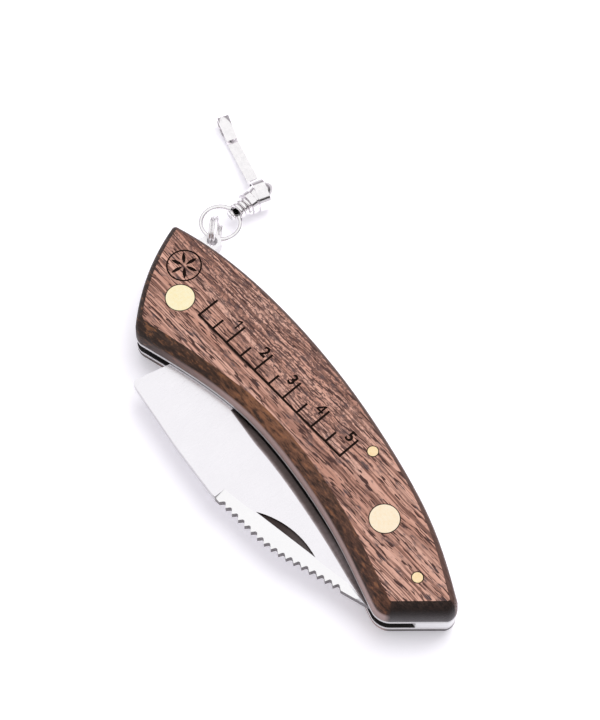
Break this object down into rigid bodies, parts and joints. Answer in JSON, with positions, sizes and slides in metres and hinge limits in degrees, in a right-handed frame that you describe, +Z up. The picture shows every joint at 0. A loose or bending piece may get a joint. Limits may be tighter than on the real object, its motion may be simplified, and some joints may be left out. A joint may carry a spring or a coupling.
{
  "type": "folding mushroom knife",
  "caption": "Folding knife with a curved wooden handle, hooked serrated blade and a swivel clip hook hung from a split ring at its head.",
  "frame": {"origin": "on the face the knife rests on, at the blade's pivot axis", "axes": "+X along the handle away from the pivot, +Y to its convex back, +Z up through the stack"},
  "size_m": [0.1473, 0.0621, 0.016],
  "materials": {
    "scale_wood": "oiled open-grain reddish brown wood",
    "liner_steel": "satin",
    "spring_steel": "satin, polished lug",
    "rivet_brass": "ground flush and polished",
    "washer_brass": "plain",
    "blade_steel": "fine satin",
    "ring_nickel": "polished nickel",
    "clip_nickel": "polished nickel"
  },
  "bodies": {
    "handle": {"upper_scale": "scale_wood", "lower_scale": "scale_wood", "upper_liner": "liner_steel", "lower_liner": "liner_steel", "back_spring": "spring_steel", "pivot_sleeve": "rivet_brass", "pivot_core": "rivet_brass", "rear_rivet_sleeve": "rivet_brass", "rear_rivet_core": "rivet_brass", "spring_pin_middle": "rivet_brass", "spring_pin_end": "rivet_brass", "upper_pivot_washer": "washer_brass", "lower_pivot_washer": "washer_brass"},
    "blade": {"blade": "blade_steel"},
    "ring": {"split_ring": "ring_nickel"},
    "eye": {"wire_eye": "ring_nickel"},
    "swivel": {"swivel_stem": "clip_nickel", "swivel_collar": "clip_nickel", "swivel_ball": "clip_nickel"},
    "clip": {"clip_hook": "clip_nickel"}
  },
  "joints": [
    {"name": "blade_hinge", "type": "hinge", "parent": "handle", "child": "blade", "pos_m": [0, 0, 0.008], "axis": [0, 0, -1], "range_deg": [0, 146]},
    {"name": "ring_hinge", "type": "hinge", "parent": "handle", "child": "ring", "pos_m": [-0.0122, 0.0166, 0.008], "axis": [0, 0, 1], "range_deg": [-20, 20]},
    {"name": "eye_hinge", "type": "hinge", "parent": "ring", "child": "eye", "pos_m": [-0.01418, 0.01876, 0.00561], "axis": [0.7204, 0.6935, -0.0134], "range_deg": [0, 45]},
    {"name": "swivel_turn", "type": "hinge", "parent": "eye", "child": "swivel", "pos_m": [-0.0195, 0.0355, 0.0042], "axis": [0.1395, -0.9874, 0.0747], "continuous": true},
    {"name": "clip_turn", "type": "hinge", "parent": "swivel", "child": "clip", "pos_m": [-0.0195, 0.0355, 0.0042], "axis": [0.1822, 0.9833, 0], "continuous": true}
  ]
}
